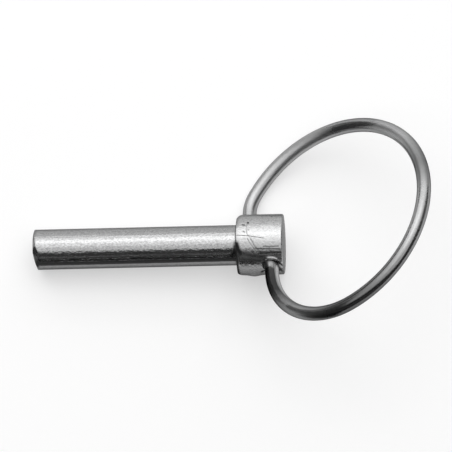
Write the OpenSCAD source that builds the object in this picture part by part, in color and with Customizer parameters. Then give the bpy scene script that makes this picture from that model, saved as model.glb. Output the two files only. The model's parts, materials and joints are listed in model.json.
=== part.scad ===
// Lynch pin: a headed steel pin with a spring-wire pull ring through a slanted cross hole.
// Millimetres, +Z up. The pin lies as it comes to rest, its head towards +X, and the
// origin is under the middle of the whole part, on the surface that it lies on.

/* [Pin] */
// Diameter of the shank
shank_d = 8; // [6:0.1:12]
// Length of the shank, from its tip to the head
shank_l = 40.5; // [25:0.5:80]
// Chamfer round the tip
tip_chamfer = 0.5; // [0.2:0.05:1.2]

/* [Head] */
// Diameter of the head
head_d = 12; // [10:0.1:16]
// Length of the head along the pin
head_l = 9.2; // [8.2:0.1:14]
// How far the shoulder taper runs in from the side of the head
shoulder_in = 0.8; // [0.3:0.05:1.5]
// How far the shoulder taper runs along the head
shoulder_l = 1.2; // [0.4:0.05:2]
// Small chamfer round the end of the head
rim_chamfer = 0.2; // [0.1:0.05:0.6]

/* [Cross hole] */
// Distance along the pin between the two mouths of the hole
mouth_stagger = 4.4; // [2:0.1:5]
// Gap all round between the wire and the hole
hole_clearance = 0.08; // [0.03:0.01:0.1]
// How far each countersunk mouth flares out beyond the hole
mouth_flare = 0.46; // [0.1:0.02:0.6]
// Depth of each countersink, from the side of the head
mouth_depth = 0.8; // [0.3:0.05:1.4]

/* [Ring] */
// Diameter of the spring wire
wire_d = 2.8; // [2:0.1:3.5]
// Diameter of the ring, to the middle of the wire
ring_d = 43.5; // [34:0.5:70]
// How far the ring's circle reaches back past the cross hole
ring_back = 5.6; // [5:0.1:7]
// How far the ring's circle sits to the side of the pin
ring_side = 1; // [0:0.1:2]
// Length of wire that runs into each mouth
tail_l = 4.4; // [2.5:0.1:5]
// Bend radius where a tail turns square to the pin
elbow_r = 4; // [3:0.1:6]
// How much the wire's radius draws down in its tight bends
draw_down = 0.01; // [0.005:0.005:0.03]
// How far each elbow stands outside the head
elbow_out = 0.6; // [0.4:0.05:1.2]
// Straight wire between the near elbow and the ring
near_leg = 0.4; // [0.1:0.1:2]
// Straight wire between the far elbow and the ring
far_leg = 0.8; // [0.1:0.1:1.6]

/* [Rest] */
// How far the near mouth is turned from straight up, towards -Y
pin_turn = 59.6; // [56:0.1:64]

/* [Hidden] */
$fn = 96;

steel = [0.66, 0.67, 0.68];
wire_steel = [0.55, 0.56, 0.57];
past = 1;
square = 90;
half_turn = 180;
full_turn = 360;

// Pin frame: its origin is the middle of the cross hole, +Z runs to the end of the head,
// and +X runs out of the near mouth.
shank_r = shank_d / 2;
head_r = head_d / 2;
wire_r = wire_d / 2;
end_z = head_l / 2;
shoulder_z = -head_l / 2;
tip_z = shoulder_z - shank_l;

// The shoulder taper is no deeper than the step from the head down to the shank.
shoulder_r = max(head_r - shoulder_in, shank_r);

// The hole joins two mouths on opposite sides of the head, so it slants.
slant = atan(mouth_stagger / head_d);
mouth_reach = head_r / cos(slant);
hole_r = wire_r + hole_clearance;
mouth_slope = mouth_flare / mouth_depth;

// Ring path, in the plane of the ring with the ring laid flat against the end of the pin:
// x runs square to the pin and y runs along it.
ring_r = ring_d / 2;
ring_mid = [ring_side, ring_r - ring_back];
elbow_trim = elbow_r * tan(slant / 2);
elbow_x = head_r + elbow_out;
elbow_y = elbow_x * tan(slant);
near_x = elbow_x + elbow_trim + near_leg;
far_x = -elbow_x - elbow_trim - far_leg;

// Each tight bend laps into the wire on either side, and a leg has room for a lap at both ends.
longest_lap = 0.1;
laps_per_leg = 3;
lap = min(longest_lap, near_leg / laps_per_leg, far_leg / laps_per_leg);

// Radius of the bend that leaves a leg at (x, y) and runs smoothly into the ring's circle
function blend_r(x, y) =
    let (across = x - ring_mid.x)
    let (along = ring_mid.y - y)
    (pow(ring_r, 2) - pow(across, 2) - pow(along, 2)) / (2 * (ring_r - along));

near_r = blend_r(near_x, elbow_y);
far_r = blend_r(far_x, -elbow_y);
near_mid = [near_x, elbow_y + near_r];
far_mid = [far_x, -elbow_y + far_r];

function heading(from, to) = atan2(to.y - from.y, to.x - from.x);

near_angle = heading(ring_mid, near_mid);
far_angle = heading(ring_mid, far_mid) + full_turn;

// How the part lies: the pin on the corners of its tip and its shoulder, and the ring
// swung down about the cross hole until its wire reaches the surface.
tip_corner = [tip_z + tip_chamfer, shank_r];
shoulder_corner = [shoulder_z + shoulder_l, head_r];
pin_tilt = heading(tip_corner, shoulder_corner);
hole_height = head_r * cos(pin_tilt) - shoulder_corner.x * sin(pin_tilt);

function arc_points(mid, r, from, to, steps = 120) =
    [for (i = [0 : steps])
        let (a = from + (to - from) * i / steps)
        [mid.x + r * cos(a), 0, mid.y + r * sin(a)]];

ring_points = concat(
    arc_points(near_mid, near_r, -square, near_angle),
    arc_points(ring_mid, ring_r, near_angle, far_angle),
    arc_points(far_mid, far_r, far_angle, 3 * square));

hinge = [cos(slant), 0, sin(slant)];

function turned(p, axis, angle) =
    p * cos(angle) + cross(axis, p) * sin(angle) + axis * (axis * p) * (1 - cos(angle));

function laid(p) =
    turned(turned(turned(p, [0, 1, 0], square), [1, 0, 0], half_turn + pin_turn), [0, 1, 0], -pin_tilt);

function laid_ring(swing) = [for (p = ring_points) laid(turned(p, hinge, swing))];

function column(points, i) = [for (p = points) p[i]];

function ring_bottom(swing) = hole_height + min(column(laid_ring(swing), 2)) - wire_r;

// Swing at which the ring's wire just reaches the surface, by halving the interval
least_swing = 10;
most_swing = 80;

function resting_swing(low, high, steps = 24) =
    let (middle = (low + high) / 2)
    steps == 0 ? middle
    : ring_bottom(middle) > 0 ? resting_swing(low, middle, steps - 1)
    : resting_swing(middle, high, steps - 1);

ring_swing = resting_swing(least_swing, most_swing);
resting_ring = laid_ring(ring_swing);

pin_left = tip_z * cos(pin_tilt) - (shank_r - tip_chamfer) * sin(pin_tilt);
part_right = max(column(resting_ring, 0)) + wire_r;
part_back = max(column(resting_ring, 1)) + wire_r;
part_front = min(column(resting_ring, 1)) - wire_r;
part_middle = [(pin_left + part_right) / 2, (part_front + part_back) / 2];

// Puts a piece drawn in the pin frame where it lies
module lay() {
    translate([-part_middle.x, -part_middle.y, hole_height])
        rotate([0, -pin_tilt, 0])
            rotate([half_turn + pin_turn, 0, 0])
                rotate([0, square, 0])
                    children();
}

module along_hinge() {
    rotate([0, square - slant, 0])
        children();
}

// Turned outline of the pin, half of its section
module pin_outline() {
    polygon([
        [0, tip_z],
        [shank_r - tip_chamfer, tip_z],
        [shank_r, tip_z + tip_chamfer],
        [shank_r, shoulder_z],
        [shoulder_r, shoulder_z],
        [head_r, shoulder_z + shoulder_l],
        [head_r, end_z - rim_chamfer],
        [head_r - rim_chamfer, end_z],
        [0, end_z]
    ]);
}

// Countersunk end of the cross hole, widening outwards along the hinge
module mouth() {
    translate([0, 0, mouth_reach - mouth_depth])
        cylinder(h = mouth_depth + past, r1 = hole_r, r2 = hole_r + mouth_slope * (mouth_depth + past));
}

module cross_hole() {
    along_hinge()
        cylinder(h = 2 * (mouth_reach + past), r = hole_r, center = true);
    along_hinge()
        mouth();
    mirror([0, 0, 1])
        mirror([1, 0, 0])
            along_hinge()
                mouth();
}

module pin_body() {
    color(steel)
        lay()
            difference() {
                rotate_extrude()
                    pin_outline();
                cross_hole();
            }
}

// Arc of wire about mid, in the ring's plane
module wire_arc(mid, r, from, to, section_r) {
    translate([mid.x, mid.y, 0])
        rotate([0, 0, from])
            rotate_extrude(angle = to - from)
                translate([r, 0])
                    circle(r = section_r);
}

// Tight bend, drawn down a little, whose ends lap into the wire on either side
module tight_bend(mid, r, from, to) {
    lap_angle = lap / r * half_turn / PI;
    wire_arc(mid, r, from - lap_angle, to + lap_angle, wire_r - draw_down);
}

// Straight length of wire in the ring's plane
module straight_wire(start, direction, length) {
    translate([start.x, start.y, 0])
        rotate([0, 0, direction])
            rotate([0, square, 0])
                cylinder(h = length, r = wire_r);
}

// Tail in the hole and the elbow that turns it square to the pin; it starts at the inner end
module tail() {
    tail_start = mouth_reach - tail_l;
    elbow_start = elbow_x / cos(slant) - elbow_trim;
    straight_wire([tail_start * cos(slant), tail_start * sin(slant)], slant, elbow_start - tail_start);
    tight_bend([elbow_x + elbow_trim, elbow_y - elbow_r], elbow_r, square, square + slant);
}

module pull_ring() {
    color(wire_steel)
        lay()
            rotate(a = ring_swing, v = hinge)
                rotate([square, 0, 0])
                    union() {
                        tail();
                        rotate([0, 0, half_turn])
                            tail();
                        straight_wire([near_x - near_leg, elbow_y], 0, near_leg);
                        tight_bend(near_mid, near_r, -square, near_angle);
                        wire_arc(ring_mid, ring_r, near_angle, far_angle, wire_r);
                        tight_bend(far_mid, far_r, far_angle, 3 * square);
                        straight_wire([far_x, -elbow_y], 0, far_leg);
                    }
}

pin_body();
pull_ring();
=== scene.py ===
import json
import math

import bmesh
import bpy
from mathutils import Matrix, Vector


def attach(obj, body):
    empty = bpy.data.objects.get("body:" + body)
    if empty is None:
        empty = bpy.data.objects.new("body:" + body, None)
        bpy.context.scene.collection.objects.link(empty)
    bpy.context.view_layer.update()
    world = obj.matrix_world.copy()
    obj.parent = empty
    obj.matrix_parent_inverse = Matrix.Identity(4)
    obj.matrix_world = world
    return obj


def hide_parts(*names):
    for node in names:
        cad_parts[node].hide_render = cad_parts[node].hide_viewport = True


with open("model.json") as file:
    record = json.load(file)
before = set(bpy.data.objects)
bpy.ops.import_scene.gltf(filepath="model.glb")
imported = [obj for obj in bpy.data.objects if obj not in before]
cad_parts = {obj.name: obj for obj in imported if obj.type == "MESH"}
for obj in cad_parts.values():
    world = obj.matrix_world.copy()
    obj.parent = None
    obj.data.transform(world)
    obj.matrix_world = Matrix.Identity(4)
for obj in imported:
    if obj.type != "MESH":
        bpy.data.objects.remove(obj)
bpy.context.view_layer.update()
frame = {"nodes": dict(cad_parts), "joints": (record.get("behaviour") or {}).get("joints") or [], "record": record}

# Sizes of the pin and the ring, in millimetres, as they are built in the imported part
MM = 0.001
SHANK_R = 4.0
SHANK_L = 40.5
TIP_CHAMFER = 0.5
HEAD_R = 6.0
HEAD_L = 9.2
RIM_CHAMFER = 0.2
MOUTH_STAGGER = 4.4
HOLE_CLEARANCE = 0.08
MOUTH_FLARE = 0.46
MOUTH_DEPTH = 0.8
WIRE_R = 1.4
RING_R = 21.75
RING_BACK = 5.6
RING_SIDE = 1.0
TAIL_L = 4.4
ELBOW_R = 4.0
ELBOW_OUT = 0.6
NEAR_LEG = 0.4
FAR_LEG = 0.8

SLANT = math.atan(MOUTH_STAGGER / (2 * HEAD_R))
MOUTH_REACH = HEAD_R / math.cos(SLANT)
HOLE_R = WIRE_R + HOLE_CLEARANCE
END_X = HEAD_L / 2
SHOULDER_X = -HEAD_L / 2
TIP_X = SHOULDER_X - SHANK_L

# Both are drawn a hair thinner than built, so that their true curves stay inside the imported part's box
DRAWN_WIRE_R = WIRE_R - 0.015
DRAWN_HEAD_R = HEAD_R - 0.004

# How finely the pieces are drawn: sides round them, and spacing along them in millimetres
PIN_SIDES = 320
DRILL_SIDES = 160
WIRE_SIDES = 64
SHOULDER_STEPS = 12
SHANK_SPACING = 0.4
HEAD_SPACING = 0.12
WIRE_SPACING = 0.3
LEAST_WIRE_STEPS = 3
LONG_EDGE = 1.0
CORNER_ROUND = 0.06
CORNER_SEGMENTS = 3
ROUND_PROFILE = 0.5
CORNER_ANGLE = math.radians(25)
SHARP_ANGLE = math.radians(30)
SAME_POINT = 1e-4
DRILL_PAST = 2.0
# Tells a point in one part of the outline from a point on its border
HAIR = 0.01
# A point further out than this from the shank belongs to the head
STEP_RISE = 0.2

# The shoulder is worn to an arc, which is filled where it is worn square: the middle and the spread of
# such a place round the pin, in degrees, and the share that is filled
WORN_SHOULDER_IN = 0.65
WORN_SHOULDER_L = 1.2
SHOULDER_FLATS = [(-66, 26, 0.8), (30, 50, 0.5)]
# How far the near mouth's flare leans to the side where the wire has worn it
NEAR_MOUTH_LEAN = 1.4

# The tip's slanted half: the side it faces, how far out it starts, and how steep it is
CUT_SIDE = math.radians(46.5)
CUT_START = 0.5
CUT_SLOPE = 0.17
# The tip's bevel is wider there, but narrower at the far edge and on the other side: how far each change
# moves its edge along the pin, and between which places across the tip it comes in
BEVEL_EXTRA = 0.6
BEVEL_EXTRA_SPAN = (-1.1, 0.7)
BEVEL_LOSS = 0.42
BEVEL_LOSS_SPAN = (1, SHANK_R)
BEVEL_KEPT = 0.28
BEVEL_KEPT_SPAN = (1, 3)
CUT_REACH = 3.0

# A mark fades out this many of its half widths from its line, and only takes points this near the surface
MARK_REACH = 2.2
MARK_SKIN = 0.7
# Marks on the pin: depth, half width and the dark they hold (dirt, and painted shade where noted), then places
# along the pin (mm) and round it (degrees).
# A mark with a negative depth stands up.
PIN_MARKS = [
    (0.020, 0.11, 0.70, (-4.3, -63), (-3.2, -62), (-1.9, -61), (-0.3, -58), (1.0, -56)),
    (0.025, 0.12, 0.50, (-2.3, -92), (-2.4, -81), (-2.4, -72), (-2.3, -65), (-1.9, -60), (-1.4, -53),
     (-1.0, -48)),
    (0.025, 0.12, 0.55, (-2.2, -56), (-1.8, -48), (-1.3, -41), (-0.7, -33), (-0.4, -29)),
    (0.020, 0.12, 0.55, (-1.6, -54), (-1.0, -45), (-0.4, -35), (-0.1, -30)),
    (0.060, 0.20, 1.00, (-2.2, -92), (-2.1, -90)),
    (0.050, 0.16, 1.00, (-3.3, -86), (-2.8, -85)),
    (0.025, 0.20, 0.60, (-3.1, -71), (-2.8, -69)),
    (0.020, 0.14, 0.60, (-2.1, -75), (-2.0, -73)),
    (0.040, 0.16, 1.00, (2.4, -112), (2.5, -112)),
    (0.015, 0.12, 0.35, (-1.6, -82), (-0.6, -83), (0.3, -81)),
    (0.022, 0.15, 0.60, (0.9, -40), (2.2, -39), (3.9, -40)),
    (0.025, 0.15, 0.65, (-0.6, -36), (0.8, -35), (2.4, -35), (4.1, -34)),
    (0.035, 0.20, 0.85, (0.2, -27), (1.6, -27), (4.3, -28)),
    (-0.035, 0.14, 0.00, (-43.4, -15), (-38, -15)),
    (-0.035, 0.14, 0.00, (-36, -15), (-30, -15), (-25, -16)),
    (-0.035, 0.14, 0.00, (-23.5, -16), (-18, -16), (-6.5, -14)),
    (-0.200, 0.34, 0.00, (1.6, -16.5), (2.5, -16.5), (3.4, -13.5), (4.1, -8)),
    (-0.280, 1.20, 0.00, (-1.3, 42), (-1.3, 60)),
    # a faint lengthwise line, painted dark along the edge of the shank's shaded lower half: partly a real line,
    # partly painted shade
    (0.008, 0.22, 0.34, (-44.2, -80), (-36, -80), (-28, -83), (-18, -84)),
    (0.040, 0.14, 0.60, (-32.8, -132), (-32.3, -132)),
    (0.020, 0.18, 0.35, (-19.2, -111), (-18.9, -110)),
    (0.012, 0.20, 0.20, (-32.5, -71), (-31.8, -66)),
    (0.012, 0.22, 0.20, (-20.6, -60), (-20.0, -52)),
]
# Dark patches laid on the pin without a groove: the same, with no depth. They are painted shade, as noted row by
# row.
PIN_DARK_PATCHES = [
    # painted shade: darker patches on the head next to the shoulder, where it mirrors dark surroundings
    (0.0, 0.55, 0.90, (-4.4, -46), (-4.2, -36), (-3.6, -28)),
    (0.0, 0.55, 0.62, (-3.9, -31), (-2.7, -27), (-1.4, -23), (0.5, -20), (1.4, -20)),
    (0.0, 0.40, 0.50, (-3.6, -15), (-1.0, -14), (0.2, -12)),
    (0.0, 0.35, 0.90, (-4.5, -38), (-4.4, -10), (-4.4, 20), (-4.3, 48)),
    # painted shade: a thin dark ring in the corner where the shank meets the head, and a wedge of painted shadow
    # on the shank beside it
    (0.0, 0.16, 0.80, (-4.6, -180), (-4.6, 180)),
    (0.0, 0.35, 0.95, (-4.75, -52), (-4.9, -35), (-5.2, -20), (-5.6, -8)),
    # painted shadow in the gaps on either side of the near mouth, where the wire goes in
    (0.0, 0.28, 1.00, (0.2, 21), (0.6, 16), (1.2, 14)),
    (0.0, 0.22, 0.90, (4.0, 12), (4.3, 19)),
    # painted shade round the tip's bevel, standing in for dark reflections
    (0.0, 0.50, 1.00, (-44.7, -35), (-44.4, -10), (-44.4, 12)),
    (0.0, 0.40, 0.45, (-44.7, -110), (-44.7, -40)),
    # painted shade: dark lengthwise bands along the shank's lower half, standing in for dark reflections
    (0.0, 0.50, 1.40, (-44.3, 2), (-30, 2), (-5, 1)),
    (0.0, 0.50, 0.22, (-44.3, -86), (-5, -86)),
]
# Marks on the wire: the same, with places along it from the near tail's end, and turns round it from the
# ring's upper face inwards
WIRE_MARKS = [
    (-0.060, 0.14, 0.0, (10.5, 12), (13, 4), (15, -4), (17.5, -12)),
    (0.050, 0.22, 0.5, (115.2, -52), (115.6, -38)),
    (0.020, 0.12, 0.6, (83.0, -10), (84.6, 25)),
    (0.020, 0.12, 0.6, (84.2, -20), (85.4, 10)),
    (0.015, 0.12, 0.6, (66, 32), (70, 41), (77, 57)),
    # painted shade: a dark band along the inner side of the upper arc, standing in for a dark reflection
    (0.0, 0.35, 0.42, (93, 70), (100, 76), (106, 79), (112, 79), (118, 75), (122, 50)),
]


# ---------------------------------------------------------------- places from the frame

def pin_space():
    """Pin millimetres to the frame: X runs along the pin to the head, Y to the near mouth."""
    joint = frame["joints"][0]
    shank = next(m for m in frame["record"]["mounts"] if m["name"] == "shank")
    along = -Vector(shank["axis"]).normalized()
    hinge = Vector(joint["axis"]).normalized()
    to_mouth = (hinge - along * hinge.dot(along)).normalized()
    turn = Matrix((along, to_mouth, along.cross(to_mouth))).transposed().to_4x4()
    return Matrix.Translation(Vector(joint["pos_m"])) @ turn @ Matrix.Scale(MM, 4)


def ring_space():
    """Ring millimetres to the frame: X and Y lie in the ring's plane, square to the pin and along it."""
    joint = frame["joints"][0]
    middle = Vector(joint["pos_m"])
    hinge = Vector(joint["axis"]).normalized()
    mesh = frame["nodes"]["pull_ring"].data
    area = sum(face.area for face in mesh.polygons)
    centre = sum((face.center * face.area for face in mesh.polygons), Vector()) / area
    outward = centre - middle
    outward = (outward - hinge * outward.dot(hinge)).normalized()
    across = hinge * math.cos(SLANT) - outward * math.sin(SLANT)
    upward = hinge * math.sin(SLANT) + outward * math.cos(SLANT)
    turn = Matrix((across, upward, across.cross(upward))).transposed().to_4x4()
    return Matrix.Translation(middle) @ turn @ Matrix.Scale(MM, 4)


# ---------------------------------------------------------------- meshes

def new_object(name, bm):
    """Puts a mesh into the scene as an object of its own."""
    mesh = bpy.data.meshes.new(name)
    bm.to_mesh(mesh)
    bm.free()
    made = bpy.data.objects.new(name, mesh)
    bpy.context.scene.collection.objects.link(made)
    return made


def finished_piece(name, bm, space):
    """Moves a piece from its own millimetres into the frame, and smooths all but its sharp edges."""
    bm.transform(space)
    piece = new_object(name, bm)
    piece.data.shade_smooth()
    piece.data.set_sharp_from_angle(angle=SHARP_ANGLE)
    return piece


def spun(outline, sides):
    """A closed solid, turned about X from pairs of place and radius."""
    bm = bmesh.new()
    points = [bm.verts.new((x, r, 0)) for x, r in outline]
    for a, b in zip(points, points[1:]):
        bm.edges.new((a, b))
    bmesh.ops.spin(bm, geom=bm.verts[:] + bm.edges[:], cent=(0, 0, 0), axis=(1, 0, 0),
                   angle=math.tau, steps=sides, use_merge=True, use_duplicate=False)
    bmesh.ops.remove_doubles(bm, verts=bm.verts[:], dist=SAME_POINT)
    bmesh.ops.recalc_face_normals(bm, faces=bm.faces[:])
    return bm


def keep_places(bm):
    """Keeps each point's own place, in millimetres, for the finishes to follow."""
    layer = bm.verts.layers.float_vector.new("own_place")
    for vert in bm.verts:
        vert[layer] = vert.co


def from_axis(vert):
    """Distance of a point from the pin's line."""
    return math.hypot(vert.co.y, vert.co.z)


def turn_round(vert):
    """How far round the pin a point lies from the near mouth, in degrees."""
    return math.degrees(math.atan2(vert.co.z, vert.co.y))


def on_head(vert):
    """Whether a point of the pin lies on the side of its head."""
    return vert.co.x > SHOULDER_X - HAIR and from_axis(vert) > SHANK_R + STEP_RISE


def smooth_step(value, low, high):
    """0 up to low, 1 from high on, and a soft change between them."""
    share = max(0.0, min(1.0, (value - low) / (high - low)))
    return share * share * (3 - 2 * share)


# ---------------------------------------------------------------- marks

def distance_to_line(place, line):
    """Distance from a place on the unrolled surface to a line of straight pieces on it."""
    nearest = math.inf
    for start, end in zip(line, line[1:]):
        run = end - start
        share = max(0.0, min(1.0, (place - start).dot(run) / run.length_squared))
        nearest = min(nearest, (place - start - run * share).length)
    return nearest


def wear(bm, marks, place_of):
    """Presses each mark in and stores the dark it holds: dirt in grooves, and painted shade in the marks that
    stand for shade.

    place_of gives a point's place along the piece, its turn round it, its radius and the way outwards,
    or None where no mark can be.
    """
    dirt = bm.verts.layers.float.new("dirt")
    places = [(vert, place_of(vert)) for vert in bm.verts]
    places = [(vert, place) for vert, place in places if place]
    for depth, width, held, *points in marks:
        first = min(along for along, _ in points) - MARK_REACH * width
        last = max(along for along, _ in points) + MARK_REACH * width
        for vert, (along, turn, radius, outward) in places:
            if not first < along < last:
                continue
            line = [Vector((x, math.radians(angle) * radius)) for x, angle in points]
            near = distance_to_line(Vector((along, math.radians(turn) * radius)), line) / width
            if near < MARK_REACH:
                fall = math.exp(-near * near)
                vert.co -= outward * depth * fall
                vert[dirt] = max(vert[dirt], held * fall)


# ---------------------------------------------------------------- pin

def worn_shoulder():
    """The shoulder's outline: an arc that rises from the step and runs smoothly into the side of the head."""
    radius = (WORN_SHOULDER_L ** 2 + WORN_SHOULDER_IN ** 2) / (2 * WORN_SHOULDER_IN)
    sweep = math.asin(WORN_SHOULDER_L / radius)
    outline = []
    for i in range(SHOULDER_STEPS + 1):
        turn = sweep * (1 - i / SHOULDER_STEPS)
        along = SHOULDER_X + WORN_SHOULDER_L - radius * math.sin(turn)
        outline.append((along, DRAWN_HEAD_R - radius * (1 - math.cos(turn))))
    return outline


def pin_blank():
    """The pin before drilling: its outline spun about its own line, with the corners rounded."""
    bm = spun([
        (TIP_X, 0),
        (TIP_X, SHANK_R - TIP_CHAMFER),
        (TIP_X + TIP_CHAMFER, SHANK_R),
        (SHOULDER_X, SHANK_R),
        *worn_shoulder(),
        (END_X - RIM_CHAMFER, DRAWN_HEAD_R),
        (END_X, DRAWN_HEAD_R - RIM_CHAMFER),
        (END_X, 0),
    ], PIN_SIDES)
    corners = [e for e in bm.edges if len(e.link_faces) == 2 and e.calc_face_angle() > CORNER_ANGLE]
    bmesh.ops.bevel(bm, geom=corners, offset=CORNER_ROUND, offset_type="OFFSET", segments=CORNER_SEGMENTS,
                    profile=ROUND_PROFILE, affect="EDGES", material=-1, clamp_overlap=True)
    return bm


def split_lengthwise(bm):
    """Adds rings of edges along the shank and the head, closer together on the head."""
    spans = {}
    for edge in bm.edges:
        first, last = sorted(round(vert.co.x, 3) for vert in edge.verts)
        if last - first > LONG_EDGE:
            spans.setdefault((first, last), []).append(edge)
    for first, last in sorted(spans):
        spacing = HEAD_SPACING if first > SHOULDER_X else SHANK_SPACING
        cuts = max(1, round((last - first) / spacing) - 1)
        bmesh.ops.subdivide_edges(bm, edges=spans[first, last], cuts=cuts, use_grid_fill=True)


def cut_tip(bm):
    """Slants the lower half of the tip, as a shear leaves it, and widens its bevel there."""
    side = Vector((0, math.cos(CUT_SIDE), math.sin(CUT_SIDE)))
    for vert in bm.verts:
        back = vert.co.x - TIP_X
        if back > CUT_REACH:
            continue
        reach = vert.co.dot(side)
        face_shift = CUT_SLOPE * max(0.0, reach - CUT_START)
        edge_shift = BEVEL_EXTRA * smooth_step(reach, *BEVEL_EXTRA_SPAN)
        edge_shift -= BEVEL_LOSS * smooth_step(reach, *BEVEL_LOSS_SPAN)
        edge_shift -= BEVEL_KEPT * smooth_step(-reach, *BEVEL_KEPT_SPAN)
        if back < TIP_CHAMFER:
            share = back / TIP_CHAMFER
            vert.co.x += face_shift * (1 - share) + edge_shift * share
        else:
            vert.co.x += edge_shift * (CUT_REACH - back) / (CUT_REACH - TIP_CHAMFER)


def flatten_shoulder(bm):
    """Fills the shoulder's round on the sides where the head is worn square."""
    for vert in bm.verts:
        if not on_head(vert) or vert.co.x >= SHOULDER_X + WORN_SHOULDER_L:
            continue
        filled = 0.0
        for middle, spread, share in SHOULDER_FLATS:
            away = (turn_round(vert) - middle) / spread
            filled += share * math.exp(-away ** 4)
        radius = from_axis(vert)
        grown = radius + (DRAWN_HEAD_R - radius) * filled
        vert.co.y *= grown / radius
        vert.co.z *= grown / radius


def pin_place(vert):
    """Where a point of the pin is for its marks, or None away from its side."""
    radius = HEAD_R if on_head(vert) else SHANK_R
    if abs(from_axis(vert) - radius) > MARK_SKIN:
        return None
    return vert.co.x, turn_round(vert), radius, Vector((0, vert.co.y, vert.co.z)) / from_axis(vert)


def drilled(piece):
    """The piece's mesh with the slanted cross hole and its two countersunk mouths cut in it."""
    far = MOUTH_REACH + DRILL_PAST
    inner = MOUTH_REACH - MOUTH_DEPTH
    outer_r = HOLE_R + MOUTH_FLARE / MOUTH_DEPTH * (MOUTH_DEPTH + DRILL_PAST)
    bm = spun([(-far, 0), (-far, outer_r), (-inner, HOLE_R), (inner, HOLE_R), (far, outer_r), (far, 0)],
              DRILL_SIDES)
    leaning = [vert for vert in bm.verts if vert.co.x > inner + HAIR]
    bmesh.ops.translate(bm, verts=leaning, vec=(0, 0, NEAR_MOUTH_LEAN))
    bmesh.ops.transform(bm, matrix=Matrix.Rotation(math.pi / 2 - SLANT, 4, "Z"), verts=bm.verts[:])
    cutter = new_object("drill", bm)
    cut = piece.modifiers.new("cross_hole", "BOOLEAN")
    cut.object = cutter
    cut.operation = "DIFFERENCE"
    cut.solver = "EXACT"
    shaped = piece.evaluated_get(bpy.context.evaluated_depsgraph_get())
    result = bmesh.new()
    result.from_mesh(shaped.to_mesh())
    shaped.to_mesh_clear()
    bpy.data.objects.remove(cutter)
    bpy.data.objects.remove(piece)
    return result


def make_pin():
    bm = pin_blank()
    split_lengthwise(bm)
    cut_tip(bm)
    flatten_shoulder(bm)
    # the dark patches lay painted shade into the same store as the dirt in the marks
    wear(bm, PIN_MARKS + PIN_DARK_PATCHES, pin_place)
    bm = drilled(new_object("blank", bm))
    keep_places(bm)
    return finished_piece("headed_pin", bm, pin_space())


# ---------------------------------------------------------------- ring

def blend_radius(x, y):
    """Radius of the bend that leaves a leg at (x, y) and runs smoothly into the ring's circle."""
    across = x - RING_SIDE
    along = RING_R - RING_BACK - y
    return (RING_R ** 2 - across ** 2 - along ** 2) / (2 * (RING_R - along))


def heading(start, end):
    """Direction from one point of the ring's plane to another."""
    return math.atan2(end[1] - start[1], end[0] - start[0])


def wire_path():
    """The wire as straight runs and bends from the near tail's end: kind, length or radius, angle."""
    trim = ELBOW_R * math.tan(SLANT / 2)
    elbow_x = HEAD_R + ELBOW_OUT
    elbow_y = elbow_x * math.tan(SLANT)
    middle = (RING_SIDE, RING_R - RING_BACK)
    near = (elbow_x + trim + NEAR_LEG, elbow_y)
    far = (-elbow_x - trim - FAR_LEG, -elbow_y)
    near_r = blend_radius(*near)
    far_r = blend_radius(*far)
    near_turn = heading(middle, (near[0], near[1] + near_r)) + math.pi / 2
    far_turn = math.pi * 1.5 - (heading(middle, (far[0], far[1] + far_r)) + math.tau)
    tail = elbow_x / math.cos(SLANT) - trim - (MOUTH_REACH - TAIL_L)
    main_turn = math.tau - near_turn - far_turn
    return [
        ("run", tail), ("bend", -ELBOW_R, SLANT), ("run", NEAR_LEG), ("bend", near_r, near_turn),
        ("bend", RING_R, main_turn),
        ("bend", far_r, far_turn), ("run", FAR_LEG), ("bend", ELBOW_R, SLANT), ("run", tail),
    ]


def make_ring():
    """The wire, swept ring by ring along its path in the plane of the ring."""
    bm = bmesh.new()
    layer = bm.verts.layers.float_vector.new("own_place")
    place = Vector((math.cos(SLANT), math.sin(SLANT), 0)) * (MOUTH_REACH - TAIL_L)
    facing = Matrix.Rotation(SLANT, 4, "Z") @ Matrix.Rotation(math.pi / 2, 4, "Y")
    circle = bmesh.ops.create_circle(bm, segments=WIRE_SIDES, radius=DRAWN_WIRE_R, cap_ends=False,
                                     matrix=Matrix.Translation(place) @ facing)
    ring = circle["verts"]
    for vert in ring:
        own = facing.inverted() @ (vert.co - place)
        vert[layer] = Vector((0, own.x, own.y))
    bmesh.ops.contextual_create(bm, geom=ring)
    edges = list({edge for vert in ring for edge in vert.link_edges})
    direction, travelled = SLANT, 0.0
    for kind, size, *turn in wire_path():
        length = size if kind == "run" else abs(size) * turn[0]
        steps = max(LEAST_WIRE_STEPS, round(length / WIRE_SPACING))
        step = length / steps
        for _ in range(steps):
            made = bmesh.ops.extrude_edge_only(bm, edges=edges)["geom"]
            ring = [item for item in made if isinstance(item, bmesh.types.BMVert)]
            edges = [item for item in made if isinstance(item, bmesh.types.BMEdge)]
            if kind == "run":
                move = Vector((math.cos(direction), math.sin(direction), 0)) * step
                bmesh.ops.translate(bm, verts=ring, vec=move)
                place += move
            else:
                side = Vector((-math.sin(direction), math.cos(direction), 0))
                centre = place + side * size
                bend = math.copysign(turn[0] / steps, size)
                spin = Matrix.Rotation(bend, 4, "Z")
                bmesh.ops.rotate(bm, verts=ring, cent=centre, matrix=spin)
                place = centre + spin @ (place - centre)
                direction += bend
            travelled += step
            for vert in ring:
                vert[layer] = Vector((travelled, vert[layer].y, vert[layer].z))
    bmesh.ops.contextual_create(bm, geom=ring)
    bmesh.ops.recalc_face_normals(bm, faces=bm.faces[:])
    bm.normal_update()

    def wire_place(vert):
        along, down, inward = vert[layer]
        return along, math.degrees(math.atan2(inward, -down)), WIRE_R, vert.normal.copy()

    wear(bm, WIRE_MARKS, wire_place)
    return finished_piece("pull_ring_wire", bm, ring_space())


# ---------------------------------------------------------------- finishes

# A neutral white that is a hair cool
BRIGHT = (0.992, 0.996, 1.0, 1)
BLACK = (0, 0, 0, 1)
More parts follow.
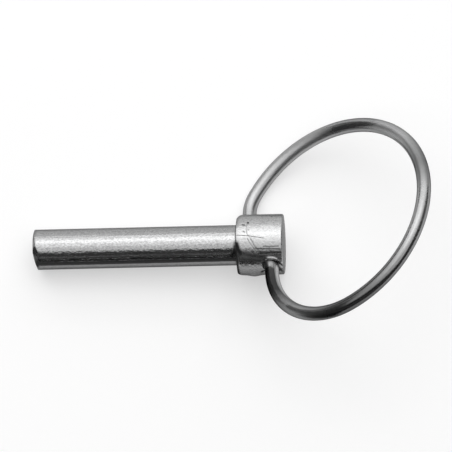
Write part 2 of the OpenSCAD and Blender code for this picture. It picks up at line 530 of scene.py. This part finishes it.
# The middle of a speckle's values
MIDDLE = 0.5

# How much the grain breaks up the edge of the dirt and painted shade, and between which amounts they begin and
# cover
DIRT_AND_SHADE_BREAK_UP = 0.6
DIRT_AND_SHADE_EDGE = (0.2, 0.75)

# The side of the pin that is painted darker, a painted shade standing in for dark reflections: its turn round the
# pin from the near mouth, and how dark it is painted
PAINTED_SHADE_SIDE = math.radians(62)
PAINTED_SHADE_BREAK_UP = 0.25
PAINTED_SHADE_DARKNESS = 0.25
HEAD_PAINTED_SHADE_DARKNESS = 0.12
# Between which places, radii and facings the head, the side and the painted shade side of the pin come in
HEAD_EDGE = (SHOULDER_X - 0.05, SHOULDER_X + 0.05)
SIDE_EDGE = (SHANK_R - 0.35, SHANK_R - 0.15)
PAINTED_SHADE_EDGE = (0.42, 0.62)
# Relief of the pin in millimetres, then the shares of its grain, unevenness and lines in its tone
PIN_GRAIN_DEPTH = 0.034
PIN_UNEVEN_DEPTH = 0.008
PIN_LINE_DEPTH = 0.008
PIN_GRAIN_SHARE = 0.7
PIN_UNEVEN_SHARE = 0.1
PIN_LINE_SHARE = 0.2
PIN_TONE = 0.36
PIN_TONE_RANGE = 0.36
# painted highlight: the head's base is painted lighter than the shank's
HEAD_PAINTED_LIGHTER = 0.06
DIRT_AND_SHADE_TONE = 0.05
PIN_TINT = (0.3, 0.3, 0.3, 1)
PIN_ROUGHNESS = 0.12
PIN_SPECKLE_ROUGHER = 0.08
HEAD_ROUGHER = 0.08
DIRT_ROUGHER = 0.2

# Finish of the wire along its length, in mm: 0 where it is polished, 1 where it is satin
SATIN = [
    (0, 0.4), (14, 0.6), (26, 0.5), (31, 0.05), (38, 0.0), (46, 0.1), (54, 0.5), (60, 0.3),
    (67, 0.9), (83, 0.9), (86, 0.1), (93, 0.15), (99, 0.9), (116, 1.0), (127, 0.6),
]
# The same for the dark stain, partly dirt and partly painted shade, which leaves the wire's inner side clean and
# paints it lighter, a painted sheen
STAIN_AND_PAINTED_SHADE = [
    (0, 0.0), (5.2, 0.0), (6.0, 0.9), (12, 0.85), (17, 0.35), (21, 0.2), (25, 0.4), (30, 0.6),
    (37, 0.45), (43, 0.28), (48, 0.12), (52, 0.0), (60, 0.0), (64, 0.35), (67, 0.5), (71, 0.35),
    (76, 0.0), (127, 0.0),
]
# How far the grain shifts the ends of each satin and stained length, in mm
SATIN_BREAK_UP = 2.5
STAIN_AND_PAINTED_SHADE_BREAK_UP = 1.5
# How far inwards the wire's clean inner side begins and is whole, and how much lighter it is painted under the
# stain, a painted sheen
INNER_EDGE = (0.74, 0.9)
INNER_BREAK_UP = 0.2
INNER_PAINTED_SHEEN = 0.2
WIRE_GRAIN_DEPTH = 0.006
SATIN_GRAIN_DEPTH = 0.030
WIRE_LINE_DEPTH = 0.007
WIRE_GRAIN_SHARE = 0.5
WIRE_LINE_SHARE = 0.5
WIRE_TONE = 0.30
WIRE_TONE_RANGE = 0.22
# satin lengths are painted lighter: a painted sheen
SATIN_PAINTED_SHEEN = 0.12
WIRE_DIRT_AND_SHADE_DARKER = 0.8
WIRE_TINT = (0.2, 0.2, 0.2, 1)
WIRE_ROUGHNESS = 0.15
WIRE_GRAIN_ROUGHER = 0.1
SATIN_ROUGHER = 0.2


class Shade:
    """A varying number on a surface: an output socket that takes part in sums."""

    def __init__(self, finish, socket):
        self.finish = finish
        self.socket = socket

    def _maths(self, operation, first, second):
        return self.finish.add("ShaderNodeMath", {"operation": operation}, {0: first, 1: second})

    def __add__(self, other):
        return self._maths("ADD", self, other)

    def __sub__(self, other):
        return self._maths("SUBTRACT", self, other)

    def __rsub__(self, other):
        return self._maths("SUBTRACT", other, self)

    def __mul__(self, other):
        return self._maths("MULTIPLY", self, other)


class Finish:
    """A material and the nodes that make it."""

    def __init__(self, name):
        self.material = bpy.data.materials.new(name)
        self.material.use_nodes = True
        self.nodes = self.material.node_tree.nodes
        self.links = self.material.node_tree.links
        self.surface = self.nodes["Principled BSDF"]

    def join(self, value, socket):
        """Links a varying value to a socket, or sets a constant on it."""
        if isinstance(value, Shade):
            self.links.new(value.socket, socket)
        else:
            socket.default_value = value

    def add(self, kind, settings=None, sockets=None, output=0):
        """Adds a node: its settings first, then the values or links of its sockets."""
        node = self.nodes.new(kind)
        for name, value in (settings or {}).items():
            if name == "stops":
                ramp = node.color_ramp.elements
                while len(ramp) < len(value):
                    ramp.new(0.5)
                for element, (position, level) in zip(ramp, value):
                    element.position = position
                    element.color = (level, level, level, 1)
            else:
                setattr(node, name, value)
        for name, value in (sockets or {}).items():
            self.join(value, node.inputs[name])
        return Shade(self, node.outputs[output])

    def set(self, **sockets):
        """Sets or links the sockets of the surface."""
        for name, value in sockets.items():
            self.join(value, self.surface.inputs[name.replace("_", " ")])

    def stored(self, name, output="Fac"):
        """A value that the mesh keeps for each of its points."""
        return self.add("ShaderNodeAttribute", {"attribute_name": name}, output=output)

    def own_place(self):
        """The point's own place on its piece, in millimetres."""
        return self.stored("own_place", "Vector")

    def coordinate(self, axis):
        return self.add("ShaderNodeSeparateXYZ", sockets={"Vector": self.own_place()}, output=axis)

    def along(self):
        """The point's place along the pin or the wire, in millimetres."""
        return self.coordinate("X")

    def inward(self):
        """How far a point of the wire lies towards the middle of the ring, from -1 to 1."""
        return self.coordinate("Z") * (1 / WIRE_R)

    def by_length(self, levels, shift):
        """A level that changes along the wire, from pairs of place and level."""
        length = levels[-1][0]
        stops = [(place / length, level) for place, level in levels]
        share = (self.along() + shift) * (1 / length)
        return self.add("ShaderNodeValToRGB", {"stops": stops}, {"Fac": share})

    def vector_maths(self, operation, *vectors, output="Vector"):
        return self.add("ShaderNodeVectorMath", {"operation": operation}, dict(enumerate(vectors)), output)

    def across(self):
        """The point's own place, square to the pin's line."""
        return self.vector_maths("MULTIPLY", self.own_place(), (0, 1, 1))

    def from_axis(self):
        """The point's distance from the pin's line, in millimetres."""
        return self.vector_maths("LENGTH", self.across(), output="Value")

    def to_painted_shade_side(self):
        """How far round to the side of the pin painted with shade a point faces, from -1 to 1."""
        side = (0, math.cos(PAINTED_SHADE_SIDE), math.sin(PAINTED_SHADE_SIDE))
        outward = self.vector_maths("NORMALIZE", self.across())
        return self.vector_maths("DOT_PRODUCT", outward, side, output="Value")

    def between(self, value, low, high):
        """0 below low, 1 above high."""
        return self.add("ShaderNodeMapRange", sockets={"Value": value, "From Min": low, "From Max": high})

    def held_dirt_and_painted_shade(self, grain):
        """The dirt and painted shade on the surface, with an edge broken up by the grain."""
        return self.between(self.stored("dirt") + (grain - MIDDLE) * DIRT_AND_SHADE_BREAK_UP, *DIRT_AND_SHADE_EDGE)

    def speckle(self, stretch, scale, detail, roughness, shift=(0, 0, 0)):
        """Noise round 0.5 that follows the piece; a small first number in stretch draws it out lengthwise."""
        place = self.add("ShaderNodeMapping", sockets={
            "Vector": self.own_place(), "Scale": stretch, "Location": shift})
        return self.add("ShaderNodeTexNoise", sockets={
            "Vector": place, "Scale": scale, "Detail": detail, "Roughness": roughness})

    def grey(self, tone):
        """A neutral colour of the given tone."""
        return self.add("ShaderNodeMix", {"data_type": "RGBA"}, {"Factor": tone, "A": BLACK, "B": BRIGHT},
                        output="Result")

    def relief(self, height):
        """Bump from a height in millimetres."""
        return self.add("ShaderNodeBump", sockets={"Strength": 1.0, "Distance": MM, "Height": height},
                        output="Normal")


def pin_steel():
    """Turned steel: bright, with fine grain and lengthwise lines, dirt in its marks, painted shade on one side and
    in its dark patches, and a head painted lighter as a painted highlight.
    """
    finish = Finish("pin_steel")
    grain = finish.speckle(stretch=(0.8, 1, 1), scale=2.8, detail=1.0, roughness=0.5)
    uneven = finish.speckle(stretch=(0.5, 1, 1), shift=(3, 9, 4), scale=1.1, detail=2.0, roughness=0.5)
    lines = finish.speckle(stretch=(0.05, 1, 1), scale=1.7, detail=2.0, roughness=0.6)
    head = finish.between(finish.along(), *HEAD_EDGE)
    # dirt from the marks, and painted shade from the dark patches
    dirt = finish.held_dirt_and_painted_shade(grain)
    on_side = finish.between(finish.from_axis() - head * (HEAD_R - SHANK_R), *SIDE_EDGE)
    # painted shade: one side of the pin is painted darker
    painted_shade = finish.between(finish.to_painted_shade_side() + (lines - MIDDLE) * PAINTED_SHADE_BREAK_UP, *PAINTED_SHADE_EDGE) * on_side
    clean_and_unshaded = (1 - dirt) * (1 - painted_shade * (head * HEAD_PAINTED_SHADE_DARKNESS + PAINTED_SHADE_DARKNESS))
    height = grain * PIN_GRAIN_DEPTH + uneven * PIN_UNEVEN_DEPTH + lines * PIN_LINE_DEPTH
    speckle = grain * PIN_GRAIN_SHARE + uneven * PIN_UNEVEN_SHARE + lines * PIN_LINE_SHARE
    tone = (speckle - MIDDLE) * PIN_TONE_RANGE + PIN_TONE + head * HEAD_PAINTED_LIGHTER
    roughness = (uneven + grain) * PIN_SPECKLE_ROUGHER + head * HEAD_ROUGHER + dirt * DIRT_ROUGHER
    finish.set(
        Base_Color=finish.grey(tone * clean_and_unshaded + dirt * DIRT_AND_SHADE_TONE),
        Metallic=1.0, Specular_Tint=PIN_TINT,
        Roughness=roughness + PIN_ROUGHNESS,
        Normal=finish.relief(height))
    return finish.material


def ring_wire():
    """Drawn spring wire: long fine lines, polished in places and satin in others; satin lengths are painted
    lighter as a painted sheen, and a dark stain is partly dirt and partly painted shade.
    """
    finish = Finish("ring_wire")
    grain = finish.speckle(stretch=(0.5, 1, 1), scale=2.8, detail=3.0, roughness=0.6)
    lines = finish.speckle(stretch=(0.06, 1, 1), scale=2.2, detail=2.0, roughness=0.5)
    satin = finish.by_length(SATIN, (grain - MIDDLE) * SATIN_BREAK_UP)
    # a dark stain along the wire, partly dirt and partly painted shade
    stain_and_painted_shade = finish.by_length(STAIN_AND_PAINTED_SHADE, (grain - MIDDLE) * STAIN_AND_PAINTED_SHADE_BREAK_UP)
    inner_side = finish.between(finish.inward() + (lines - MIDDLE) * INNER_BREAK_UP, *INNER_EDGE)
    dirt = finish.held_dirt_and_painted_shade(grain)
    height = grain * WIRE_GRAIN_DEPTH + satin * (grain * SATIN_GRAIN_DEPTH) + lines * WIRE_LINE_DEPTH
    speckle = lines * WIRE_LINE_SHARE + grain * WIRE_GRAIN_SHARE
    tone = (speckle - MIDDLE) * WIRE_TONE_RANGE + WIRE_TONE
    # painted sheen: satin lengths, and the inner side where the stain lies, are painted lighter
    lit = tone + satin * SATIN_PAINTED_SHEEN + stain_and_painted_shade * (inner_side * INNER_PAINTED_SHEEN)
    finish.set(
        Base_Color=finish.grey(lit * (1 - stain_and_painted_shade * (1 - inner_side)) * (1 - dirt * WIRE_DIRT_AND_SHADE_DARKER)),
        Metallic=1.0, Specular_Tint=WIRE_TINT,
        Roughness=grain * WIRE_GRAIN_ROUGHER + WIRE_ROUGHNESS + satin * SATIN_ROUGHER,
        Normal=finish.relief(height))
    return finish.material


def dress(piece, material):
    """Gives a piece its one material."""
    piece.data.materials.clear()
    piece.data.materials.append(material)


# ---------------------------------------------------------------- stage, lamps and camera

# The floor's colour, and the light that it sends only to the camera, to reflections and through clear things
FLOOR_SIZE = 8.0
FLOOR_TONE = 0.52
FLOOR_LIFT = 0.47
DARK_CARD_PLACE = (-0.03, -0.05)
DARK_CARD_SIZE = (0.1, 0.026)
DARK_CARD_TONE = 0.02
# Name, azimuth and elevation in degrees, distance, width and height in metres, brightness, shape.
# A wide panel overhead with a brighter middle, a card behind, one at the side, and a thin strip in front.
LAMPS = [
    ("overhead", 180, 76, 0.95, 1.9, 1.96, 1.15, "RECTANGLE"),
    ("overhead_soft", -168, 68, 0.92, 1.15, 0.9, 0.65, "ELLIPSE"),
    ("overhead_core", -172, 62, 0.9, 0.62, 0.36, 0.95, "ELLIPSE"),
    ("back_card", 178, 21, 1.2, 2.4, 0.85, 1.0, "RECTANGLE"),
    ("side_card", -130, 33, 1.1, 0.5, 0.42, 0.9, "RECTANGLE"),
    ("front_strip", 0, 27, 1.2, 1.8, 0.06, 0.5, "RECTANGLE"),
]
ROOM_TONE = 0.05
CAMERA_AZIMUTH = 5.99
CAMERA_ELEVATION = 73.84
CAMERA_ROLL = -6.33
CAMERA_DISTANCE = 1.0
CAMERA_LENS = 402.4
CAMERA_CLIP = 0.01
AIM_POINT = Vector((-0.00104, 0.00074, 0.008))


def matt(name, tone):
    """An even grey with no shine."""
    paper = Finish(name)
    paper.set(Base_Color=(tone, tone, tone, 1), Roughness=1.0, Specular_IOR_Level=0.0)
    return paper


def make_floor():
    bm = bmesh.new()
    bmesh.ops.create_grid(bm, x_segments=1, y_segments=1, size=FLOOR_SIZE / 2)
    floor = new_object("floor", bm)
    paper = matt("floor_paper", FLOOR_TONE)
    rays = ("Is Camera Ray", "Is Glossy Ray", "Is Transmission Ray")
    camera_ray, glossy_ray, clear_ray = [paper.add("ShaderNodeLightPath", output=ray) for ray in rays]
    paper.set(Emission_Color=camera_ray + glossy_ray + clear_ray, Emission_Strength=FLOOR_LIFT)
    dress(floor, paper.material)


def make_dark_card():
    """A low dark card in front of the part, which only the metal's reflections show."""
    width, height = DARK_CARD_SIZE
    stand = Matrix.Translation((*DARK_CARD_PLACE, height / 2)) @ Matrix.Rotation(math.pi / 2, 4, "X")
    bm = bmesh.new()
    bmesh.ops.create_grid(bm, x_segments=1, y_segments=1, size=1,
                          matrix=stand @ Matrix.Diagonal((width / 2, height / 2, 1, 1)))
    card = new_object("dark_card", bm)
    card.visible_camera = False
    card.visible_diffuse = False
    card.visible_shadow = False
    dress(card, matt("dark_felt", DARK_CARD_TONE).material)


def aim(azimuth, elevation):
    """Unit direction from the part: azimuth is turned from -Y towards +X."""
    az, el = math.radians(azimuth), math.radians(elevation)
    return Vector((math.cos(el) * math.sin(az), -math.cos(el) * math.cos(az), math.sin(el)))


def lamp(name, azimuth, elevation, distance, width, height, level, shape):
    """A flat lamp of the given brightness that faces the part."""
    light = bpy.data.lights.new(name, "AREA")
    light.shape = shape
    light.size = width
    light.size_y = height
    area = width * height * (math.pi / 4 if shape == "ELLIPSE" else 1)
    light.energy = level * math.pi * area
    holder = bpy.data.objects.new(name, light)
    bpy.context.scene.collection.objects.link(holder)
    toward = aim(azimuth, elevation)
    turn = toward.to_track_quat("Z", "Y").to_matrix().to_4x4()
    holder.matrix_world = Matrix.Translation(toward * distance) @ turn
    holder.visible_camera = False


def make_room():
    """The faint even light of the room."""
    world = bpy.data.worlds.new("room")
    world.use_nodes = True
    world.node_tree.nodes["Background"].inputs["Color"].default_value = (ROOM_TONE, ROOM_TONE, ROOM_TONE, 1)
    bpy.context.scene.world = world


def make_camera():
    toward = aim(CAMERA_AZIMUTH, CAMERA_ELEVATION)
    az, roll = math.radians(CAMERA_AZIMUTH), math.radians(CAMERA_ROLL)
    level_right = Vector((math.cos(az), math.sin(az), 0))
    level_up = toward.cross(level_right)
    right = level_right * math.cos(roll) + level_up * math.sin(roll)
    up = level_up * math.cos(roll) - level_right * math.sin(roll)
    lens = bpy.data.cameras.new("camera")
    lens.lens = CAMERA_LENS
    lens.clip_start = CAMERA_CLIP
    camera = bpy.data.objects.new("camera", lens)
    bpy.context.scene.collection.objects.link(camera)
    turn = Matrix((right, up, toward)).transposed().to_4x4()
    camera.matrix_world = Matrix.Translation(AIM_POINT + toward * CAMERA_DISTANCE) @ turn
    bpy.context.scene.camera = camera


make_camera()
for row in LAMPS:
    lamp(*row)
make_room()
make_floor()
make_dark_card()
bpy.context.scene.view_settings.view_transform = "Standard"

pin = make_pin()
ring = make_ring()
dress(pin, pin_steel())
dress(ring, ring_wire())
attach(pin, "pin")
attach(ring, "ring")
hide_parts("pin_body")
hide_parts("pull_ring")
